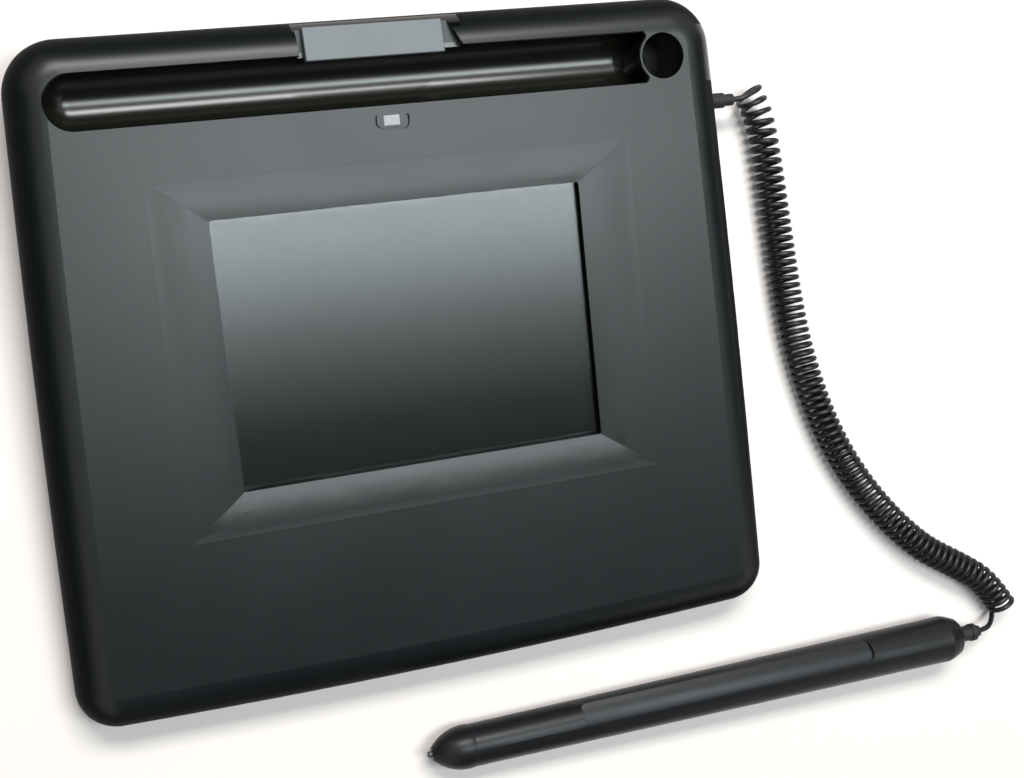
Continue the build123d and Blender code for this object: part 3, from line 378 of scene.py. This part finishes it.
def polished(name, base):
    """Polished plastic with fine rub marks along the pen's way."""
    finish = Finish(name, Specular_IOR_Level=0.4)
    rubs = finish.noise(0.0009, 3.0, (0.04, 1, 1))
    haze = finish.noise(0.02, 3.0, (0.3, 1, 1))
    finish.feed(
        Base_Color=finish.mix(haze, tint(base, 0.85), tint(base, 1.3)),
        Roughness=0.19 + rubs * 0.05 + haze * 0.06,
        Normal=finish.bump(rubs, 0.000001),
    )
    return finish.material


def painted_plate(name, base):
    """Satin grey plate with a very fine grain."""
    finish = Finish(name, Metallic=0.0, Specular_IOR_Level=0.2)
    grain = finish.noise(0.00016, 3.0)
    patches = finish.noise(0.006, 2.0)
    finish.feed(
        Base_Color=finish.mix(patches, tint(base, 0.93), tint(base, 1.06)),
        Roughness=0.38 + grain * 0.12,
        Normal=finish.bump(grain, 0.000006),
    )
    return finish.material


def etched_glass(name):
    """Cover glass with a fine etch against glare."""
    finish = Finish(name, Transmission_Weight=1.0, IOR=1.265, Specular_IOR_Level=0.5)
    etch = finish.noise(0.00012, 2.0)
    smears = finish.noise(0.03, 2.0)
    finish.feed(
        Base_Color=finish.mix(smears, (0.86, 0.9, 0.9), (0.93, 0.95, 0.95)),
        Roughness=0.088 + smears * 0.024,
        Normal=finish.bump(etch, 0.0000004),
    )
    return finish.material


def dark_panel(name, base):
    """Unlit display: fine rows of dots under a dark film."""
    finish = Finish(name, Specular_IOR_Level=0.02)
    rows = finish.node(
        "ShaderNodeTexWave",
        {"wave_type": "BANDS", "bands_direction": "Y", "wave_profile": "SIN"},
        {"Vector": finish.place, "Scale": 1200.0},
    )
    columns = finish.node(
        "ShaderNodeTexWave",
        {"wave_type": "BANDS", "bands_direction": "X", "wave_profile": "SIN"},
        {"Vector": finish.place, "Scale": 1200.0},
    )
    dots = Value(finish, rows.outputs["Fac"]) * Value(finish, columns.outputs["Fac"])
    finish.feed(
        Base_Color=finish.mix(dots, tint(base, 0.94), tint(base, 1.08)),
        Roughness=0.62 + dots * 0.03,
    )
    return finish.material


def soft_rubber(name, base, grain=0.0003):
    """Dull rubber, slightly greyed in patches."""
    finish = Finish(name, Specular_IOR_Level=0.3)
    grains = finish.noise(grain, 3.0)
    bloom = finish.noise(0.004, 3.0).above(0.55, 0.2)
    finish.feed(
        Base_Color=finish.mix(bloom, base, tint(base, 1.6)),
        Roughness=0.55 + grains * 0.15,
        Normal=finish.bump(grains, 0.00001),
    )
    return finish.material


def drawn_steel(name, base=(0.55, 0.55, 0.54)):
    """Bright steel sheet with rolling lines."""
    finish = Finish(name, Metallic=1.0)
    lines = finish.noise(0.0004, 3.0, (0.05, 1, 1))
    stains = finish.noise(0.008, 3.0)
    finish.feed(
        Base_Color=finish.mix(stains, tint(base, 0.85), tint(base, 1.1)),
        Roughness=0.28 + lines * 0.2,
        Normal=finish.bump(lines, 0.000004),
    )
    return finish.material


def solder_mask(name, base):
    """Green board with tracks under the mask and tinned pads."""
    finish = Finish(name, Specular_IOR_Level=0.5)
    grid = finish.node(
        "ShaderNodeTexBrick",
        {"offset": 0.37, "squash": 1.0},
        {
            "Vector": finish.place,
            "Scale": 190.0,
            "Mortar Size": 0.04,
            "Brick Width": 1.3,
            "Row Height": 0.35,
        },
    )
    tracks = Value(finish, grid.outputs["Fac"])
    pads = 1 - finish.cells(0.0062).above(0.12, 0.02)
    green = finish.mix(tracks, base, tint(base, 1.7))
    finish.feed(
        Base_Color=finish.mix(pads, green, (0.62, 0.6, 0.55)),
        Metallic=pads * 0.9,
        Roughness=0.3 + tracks * 0.05,
        Normal=finish.bump(tracks + pads, 0.00003),
    )
    return finish.material


def chip_resin(name):
    """Black moulded resin with a fine matte skin."""
    base = (0.015, 0.015, 0.015)
    return moulded(name, base, grain=0.0002, depth=0.000015, rough=0.6, sheen=0.3, dust=0.0)


def pale_plastic(name):
    """Natural plastic of small connectors."""
    base = (0.72, 0.71, 0.66)
    return moulded(name, base, grain=0.0004, depth=0.00001, rough=0.45, sheen=0.4, dust=0.0)


def amber_film(name):
    """Amber ribbon with copper tracks along it."""
    finish = Finish(name, Specular_IOR_Level=0.5)
    tracks = finish.node(
        "ShaderNodeTexWave",
        {"wave_type": "BANDS", "bands_direction": "X", "wave_profile": "SIN"},
        {"Vector": finish.place, "Scale": 160.0},
    )
    lines = Value(finish, tracks.outputs["Fac"]).above(0.5, 0.1)
    finish.feed(
        Base_Color=finish.mix(lines, (0.32, 0.11, 0.02), (0.55, 0.24, 0.07)),
        Roughness=0.3 + lines * 0.08,
    )
    return finish.material


def copper_winding(name):
    """Fine copper wire wound round the bobbin, turn beside turn."""
    finish = Finish(name, Metallic=1.0)
    turns = finish.node(
        "ShaderNodeTexWave",
        {"wave_type": "BANDS", "bands_direction": "X", "wave_profile": "SIN"},
        {"Vector": finish.place, "Scale": 1400.0},
    )
    ridges = Value(finish, turns.outputs["Fac"])
    finish.feed(
        Base_Color=finish.mix(ridges, (0.35, 0.13, 0.05), (0.75, 0.33, 0.15)),
        Roughness=0.3 + ridges * 0.1,
        Normal=finish.bump(ridges, 0.00008),
    )
    return finish.material


def milky_window(name):
    """Milky light pipe, unlit."""
    finish = Finish(name, Specular_IOR_Level=0.15)
    cloud = finish.noise(0.0012, 3.0)
    finish.feed(
        Base_Color=finish.mix(cloud, (0.2, 0.208, 0.212), (0.29, 0.298, 0.302)),
        Roughness=0.22 + cloud * 0.1,
    )
    return finish.material


def pen_shell(name, base):
    """Semi-gloss moulding with fine texture and rubbed spots where fingers hold it."""
    finish = Finish(name, Specular_IOR_Level=0.18)
    grains = finish.noise(0.00025, 3.0)
    rubbed = finish.noise(0.009, 3.0, (0.5, 1, 1)).above(0.5, 0.2)
    # the land is faintly crowned, so the light fades across it as on the round of the barrel
    along = finish.along("X")
    facing = finish.facing("Y") * LAND_FACING_Y + finish.facing("Z") * LAND_FACING_Z
    flat = facing.above(0.985, 0.008)
    land = flat * along.above(LAND_FRONT_X, 0.0001) * (1 - along.above(LAND_BACK_X, 0.0001))
    across = (finish.along("Y") - LAND_MIDDLE_Y) * (1 / LAND_FACING_Z)
    crown = across * (0.5 - across * (1 / (2 * LAND_WIDTH))) * 0.55
    finish.feed(
        Base_Color=finish.mix(rubbed, tint(base, 0.95), tint(base, 1.12)),
        Roughness=0.36 - rubbed * 0.06 + grains * 0.05,
        Normal=finish.bump(grains, 0.000006, normal=finish.bump(crown * land, 1.0)),
    )
    return finish.material


def jacket_skin(name, base):
    """Satin jacket of the cord."""
    finish = Finish(name, Specular_IOR_Level=0.28)
    grains = finish.noise(0.0003, 3.0)
    patches = finish.noise(0.008, 2.0)
    finish.feed(
        Base_Color=finish.mix(patches, tint(base, 0.9), tint(base, 1.2)),
        Roughness=0.33 + grains * 0.1,
        Normal=finish.bump(grains, 0.000006),
    )
    return finish.material


# Operators


class PAD_OT_camera(bpy.types.Operator):
    """Set the camera where the photograph was taken from"""

    bl_idname = "pad.camera"
    bl_label = "Set Camera"

    def execute(self, context):
        lens = bpy.data.cameras.new("view")
        lens.sensor_fit = "HORIZONTAL"
        lens.sensor_width = 36.0
        lens.lens = CAMERA_LENS
        lens.clip_start = 0.01
        lens.clip_end = 20
        camera = bpy.data.objects.new("view", lens)
        context.scene.collection.objects.link(camera)
        back = CAMERA_ACROSS.cross(CAMERA_UP).normalized()
        turn = Matrix((CAMERA_ACROSS, CAMERA_UP, back)).transposed()
        camera.matrix_world = Matrix.Translation(CAMERA_PLACE) @ turn.to_4x4()
        context.scene.camera = camera
        return {"FINISHED"}


def smooth_line(points, name, steps):
    """A smooth curve that follows the route and starts and ends on it."""
    line = bpy.data.curves.new(name + "_line", "CURVE")
    line.dimensions = "3D"
    line.resolution_u = steps
    spline = line.splines.new("NURBS")
    spline.points.add(len(points) - 1)
    for point, place in zip(spline.points, points):
        point.co = (*place, 1.0)
    spline.order_u = 3
    spline.use_endpoint_u = True
    holder = bpy.data.objects.new(name, line)
    bpy.context.scene.collection.objects.link(holder)
    bpy.context.view_layer.update()
    return holder


def places_on(holder):
    """The points that a curve without thickness is drawn through."""
    thread = bpy.data.meshes.new_from_object(holder)
    places = [vertex.co.copy() for vertex in thread.vertices]
    bpy.data.meshes.remove(thread)
    return places


def walk(places):
    """A function that gives the place and heading at a share of a line's length."""
    reach = [0.0]
    for before, here in zip(places, places[1:]):
        reach.append(reach[-1] + (here - before).length)
    total = reach[-1]

    def at(share):
        wanted = min(max(share, 0.0), 1.0) * total
        index = min(max(bisect_left(reach, wanted) - 1, 0), len(reach) - 2)
        span = reach[index + 1] - reach[index]
        part = (wanted - reach[index]) / span if span else 0.0
        return places[index].lerp(places[index + 1], part)

    def heading(share):
        step = 0.004
        return (at(share + step) - at(share - step)).normalized()

    return at, heading


class PAD_OT_cord(bpy.types.Operator):
    """Make the curly cord and its two leads as one tube"""

    bl_idname = "pad.cord"
    bl_label = "Make Cord"

    def execute(self, context):
        sizes = context.scene.pad_cord
        axis = smooth_line(COIL_AXIS, "coil_axis", 12)
        at, heading = walk(places_on(axis))
        bpy.data.objects.remove(axis)
        radius = (sizes.coil - sizes.wire) / 2
        # a quadratic spline runs inside its corners, so the corners stand out a little
        corner = radius / math.cos(math.pi / STEPS_PER_TURN) ** 2

        def curl(turned, reach):
            share = turned / sizes.turns
            share = share + sizes.loosening * share * (1 - share) ** 5
            onward = heading(share)
            across = Vector((0, 0, 1)).cross(onward).normalized()
            up = onward.cross(across)
            angle = 2 * math.pi * turned
            return at(share) + up * (reach * math.cos(angle)) + across * (reach * math.sin(angle))

        count = round(sizes.turns * STEPS_PER_TURN)
        nudge = 0.02
        start = curl(0, radius)
        start_heading = (curl(nudge, radius) - start).normalized()
        end = curl(sizes.turns, radius)
        end_heading = (end - curl(sizes.turns - nudge, radius)).normalized()
        boot_end = PEN_TAIL - PEN_FORWARD * BOOT_LENGTH
        route = [
            RELIEF_TIP,
            RELIEF_TIP + Vector((RELIEF_RUN, 0, 0)),
            start - start_heading * FIRST_CURL_TURN,
            start - start_heading * COIL_RUN,
        ]
        route += [curl((i + 0.5) * sizes.turns / count, corner) for i in range(count)]
        route += [
            end + end_heading * COIL_RUN,
            end + end_heading * LAST_CURL_TURN,
            LOOP_POINT,
            boot_end - PEN_FORWARD * BOOT_RUN,
            boot_end,
        ]
        holder = smooth_line(route, "cord", 3)
        path = places_on(holder)
        line = holder.data
        line.bevel_depth = sizes.wire / 2
        line.bevel_resolution = 2
        line.use_fill_caps = True
        deselect_all()
        holder.select_set(True)
        context.view_layer.objects.active = holder
        bpy.ops.object.convert(target="MESH")
        cord = context.view_layer.objects.active
        cord.name = "cord"
        bpy.ops.object.shade_smooth()
        cord.data.materials.clear()
        cord.data.materials.append(jacket_skin("cord_jacket", context.scene.pad_finish.jacket))
        length = sum((b - a).length for a, b in zip(path, path[1:]))
        faces = len(cord.data.polygons)
        print("cord length", round(length, 4), "points", len(path), "faces", faces)
        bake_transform(cord)
        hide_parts("pad_lead", "curly_cord", "pen_lead")
        return {"FINISHED"}


class PAD_OT_housing(bpy.types.Operator):
    """Finish the covers, the feet and the screws"""

    bl_idname = "pad.housing"
    bl_label = "Finish Housing"

    def execute(self, context):
        colours = context.scene.pad_finish
        put_on(shell("housing_plastic", colours.housing), "top_cover", "bottom_cover")
        put_on(polished("trough_plastic", colours.trough), "pen_trough", "pen_well")
        put_on(painted_plate("plate_paint", colours.plate), "name_plate")
        put_on(soft_rubber("foot_rubber", colours.rubber), "rubber_feet")
        put_on(milky_window("window_plastic"), "status_window")
        steel = drawn_steel("screw_steel", (0.42, 0.42, 0.41))
        put_on(steel, "cover_screws", "frame_screws", "board_screws")
        return {"FINISHED"}


class PAD_OT_screen(bpy.types.Operator):
    """Finish the glass and the display behind it"""

    bl_idname = "pad.screen"
    bl_label = "Finish Screen"

    def execute(self, context):
        colours = context.scene.pad_finish
        put_on(etched_glass("screen_glass"), "screen_glass")
        put_on(dark_panel("display_film", colours.panel), "display_panel")
        put_on(soft_rubber("gasket_foam", (0.015, 0.015, 0.015), 0.0005), "screen_gasket")
        put_on(drawn_steel("bezel_steel", (0.03, 0.03, 0.032)), "display_bezel")
        put_on(drawn_steel("shield_steel"), "shield_plate")
        put_on(pale_plastic("backlight_tray"), "backlight")
        put_on(moulded("frame_plastic", (0.05, 0.05, 0.052), dust=0.0), "display_frame")
        return {"FINISHED"}


class PAD_OT_electronics(bpy.types.Operator):
    """Finish the boards and what is on them"""

    bl_idname = "pad.electronics"
    bl_label = "Finish Electronics"

    def execute(self, context):
        colours = context.scene.pad_finish
        put_on(solder_mask("board_mask", colours.board), "main_board", "sensor_board", "pen_board")
        put_on(chip_resin("chip_resin"), "controller_chip")
        put_on(drawn_steel("socket_steel", (0.6, 0.6, 0.6)), "usb_socket")
        put_on(
            pale_plastic("connector_plastic"),
            "pen_header",
            "display_connector",
            "sensor_connector",
            "status_led",
        )
        put_on(amber_film("ribbon_film"), "display_ribbon", "sensor_ribbon")
        put_on(jacket_skin("inner_jacket", colours.jacket), "inner_lead", "pen_inner_lead")
        return {"FINISHED"}


class PAD_OT_pen(bpy.types.Operator):
    """Finish the pen and the pieces that the cord goes through"""

    bl_idname = "pad.pen"
    bl_label = "Finish Pen"

    def execute(self, context):
        colours = context.scene.pad_finish
        put_on(pen_shell("pen_plastic", colours.pen), "pen_barrel", "pen_nose_cone", "pen_end_cap")
        put_on(soft_rubber("boot_rubber", colours.rubber), "pen_boot", "strain_relief")
        worn = (0.04, 0.04, 0.042)
        nib = moulded(
            "nib_plastic", worn, grain=0.0001, depth=0.000004, rough=0.4, sheen=0.4, dust=0.0
        )
        put_on(nib, "pen_nib")
        put_on(copper_winding("tip_winding"), "tip_coil")
        put_on(chip_resin("switch_resin"), "pressure_switch")
        return {"FINISHED"}


def box_light(name, place, aim, width, depth, power, tone=(1, 1, 1)):
    """A soft box that shines towards a point."""
    lamp = bpy.data.lights.new(name, "AREA")
    lamp.shape = "RECTANGLE"
    lamp.size = width
    lamp.size_y = depth
    lamp.energy = power
    lamp.color = tone
    holder = bpy.data.objects.new(name, lamp)
    bpy.context.scene.collection.objects.link(holder)
    place = Vector(place)
    turn = (Vector(aim) - place).to_track_quat("-Z", "Y")
    holder.matrix_world = Matrix.Translation(place) @ turn.to_matrix().to_4x4()
    return holder


def flat_sheet(name, size, place, material, turn=(0, 0, 0)):
    """A flat sheet of the stage."""
    deselect_all()
    bpy.ops.mesh.primitive_plane_add(size=size, location=place, rotation=turn)
    sheet = bpy.context.view_layer.objects.active
    sheet.name = name
    sheet.data.materials.append(material)
    return sheet


def floor_paper(base):
    """Pale paper that keeps the shadows near the pad and is white farther out."""
    finish = Finish("floor_paper", Specular_IOR_Level=0.0, Roughness=1.0)
    finish.shader.inputs["Base Color"].default_value = (*base, 1.0)
    white = finish.node("ShaderNodeEmission", None, {"Strength": 1.0})
    none = finish.node("ShaderNodeEmission", None, {"Strength": 0.0})
    seen = Value(finish, finish.node("ShaderNodeLightPath").outputs["Is Camera Ray"])
    # the square of the distance from the pad's middle
    reach = finish.along("X") * finish.along("X") + finish.along("Y") * finish.along("Y")
    glow = finish.blend(seen * (0.04 + reach.above(0.17, 0.1) * 0.96), none, white)
    layers = {0: finish.shader.outputs[0], 1: glow.outputs[0]}
    both = finish.node("ShaderNodeAddShader", None, layers)
    finish.put(finish.output.inputs["Surface"], both.outputs[0])
    return finish.material


def hang_dark_sheets(share):
    """Dark cards round the pad and over its front, out of view, that keep its edges black."""
    card = Finish("card_felt", Specular_IOR_Level=0.0, Roughness=1.0)
    card.shader.inputs["Base Color"].default_value = (share, share, share, 1.0)
    radius = 0.62
    for side in range(4):
        angle = side * math.pi / 2
        place = (0.05 + radius * math.cos(angle), radius * math.sin(angle), 0.24)
        upright = (math.pi / 2, 0, angle + math.pi / 2)
        flat_sheet("dark_card", 0.46, place, card.material, upright).visible_camera = False
    over_front, face_down = (0.3, -0.93, 1.22), (math.pi, 0, 0)
    flat_sheet("dark_ceiling", 1.3, over_front, card.material, face_down).visible_camera = False


def hang_lights(key, back):
    """A long soft box over the pad, strips that fade towards the writer, and a box behind."""
    cool = (0.9, 1.0, 1.02)
    middle, height, width, depth = 0.31, 1.2, 0.82, 0.24
    box_light("key_box", (middle, 0.06, height), (middle, 0.06, 0.0), width, depth, key, cool)
    strips, strip = 5, 0.04
    for step in range(strips):
        y = -0.08 - strip * step
        power = key * (strip / depth) * ((strips - step) / (strips + 0.5)) ** 2
        box_light("fading_strip", (middle, y, height), (middle, y, 0.0), width, strip, power, cool)
    behind, pad_middle = (0.05, 0.75, 1.05), (0.0, 0.0, 0.0)
    box_light("back_box", behind, pad_middle, width=0.8, depth=0.3, power=back)


def surround(scene, fill):
    """Dim even light on matte surfaces, and white where the surroundings are seen or mirrored."""
    world = bpy.data.worlds.new("studio")
    scene.world = world
    world.use_nodes = True
    tree = world.node_tree
    tree.nodes.clear()
    out = tree.nodes.new("ShaderNodeOutputWorld")
    path = tree.nodes.new("ShaderNodeLightPath")

    def background(tone, strength):
        node = tree.nodes.new("ShaderNodeBackground")
        node.inputs["Color"].default_value = (*tone, 1)
        node.inputs["Strength"].default_value = strength
        return node.outputs[0]

    def either(first, second):
        node = tree.nodes.new("ShaderNodeMath")
        node.operation = "MAXIMUM"
        tree.links.new(first, node.inputs[0])
        tree.links.new(second, node.inputs[1])
        return node.outputs[0]

    mirrored = either(path.outputs["Is Glossy Ray"], path.outputs["Is Transmission Ray"])
    seen = either(path.outputs["Is Camera Ray"], mirrored)
    blend = tree.nodes.new("ShaderNodeMixShader")
    tree.links.new(seen, blend.inputs[0])
    tree.links.new(background((1.0, 0.97, 0.93), fill), blend.inputs[1])
    tree.links.new(background((1, 1, 1), 1.0), blend.inputs[2])
    tree.links.new(blend.outputs[0], out.inputs["Surface"])


class PAD_OT_stage(bpy.types.Operator):
    """Set the floor, the lights and the pale surroundings"""

    bl_idname = "pad.stage"
    bl_label = "Set Stage"

    def execute(self, context):
        settings = context.scene.pad_stage
        flat_sheet("floor", 8.0, (0, 0, -0.0002), floor_paper(settings.floor))
        hang_dark_sheets(settings.dark)
        hang_lights(settings.key, settings.back)
        surround(context.scene, settings.fill)
        context.scene.view_settings.view_transform = "Standard"
        return {"FINISHED"}


class PAD_PT_panel(bpy.types.Panel):
    """The pad's steps and settings"""

    bl_label = "Signature Pad"
    bl_idname = "PAD_PT_panel"
    bl_space_type = "VIEW_3D"
    bl_region_type = "UI"
    bl_category = "Pad"

    def draw(self, context):
        layout = self.layout
        for step in OPERATORS:
            layout.operator(step.bl_idname)
        for group in ("pad_cord", "pad_finish", "pad_stage"):
            box = layout.box()
            settings = getattr(context.scene, group)
            for key in settings.__annotations__:
                box.prop(settings, key)


OPERATORS = (
    PAD_OT_camera,
    PAD_OT_cord,
    PAD_OT_housing,
    PAD_OT_screen,
    PAD_OT_electronics,
    PAD_OT_pen,
    PAD_OT_stage,
)
GROUPS = (PadCordSettings, PadFinishSettings, PadStageSettings)


def register():
    """Registers the settings, the steps and the panel."""
    for group in GROUPS:
        bpy.utils.register_class(group)
    for step in OPERATORS:
        bpy.utils.register_class(step)
    bpy.utils.register_class(PAD_PT_panel)
    bpy.types.Scene.pad_cord = bpy.props.PointerProperty(type=PadCordSettings)
    bpy.types.Scene.pad_finish = bpy.props.PointerProperty(type=PadFinishSettings)
    bpy.types.Scene.pad_stage = bpy.props.PointerProperty(type=PadStageSettings)


def unregister():
    """Takes them away again."""
    del bpy.types.Scene.pad_stage
    del bpy.types.Scene.pad_finish
    del bpy.types.Scene.pad_cord
    bpy.utils.unregister_class(PAD_PT_panel)
    for step in reversed(OPERATORS):
        bpy.utils.unregister_class(step)
    for group in reversed(GROUPS):
        bpy.utils.unregister_class(group)


def main():
    """Registers the steps and runs every one in order."""
    register()
    bpy.ops.pad.camera()
    bpy.ops.pad.cord()
    bpy.ops.pad.housing()
    bpy.ops.pad.screen()
    bpy.ops.pad.electronics()
    bpy.ops.pad.pen()
    bpy.ops.pad.stage()


if __name__ == "__main__":
    main()
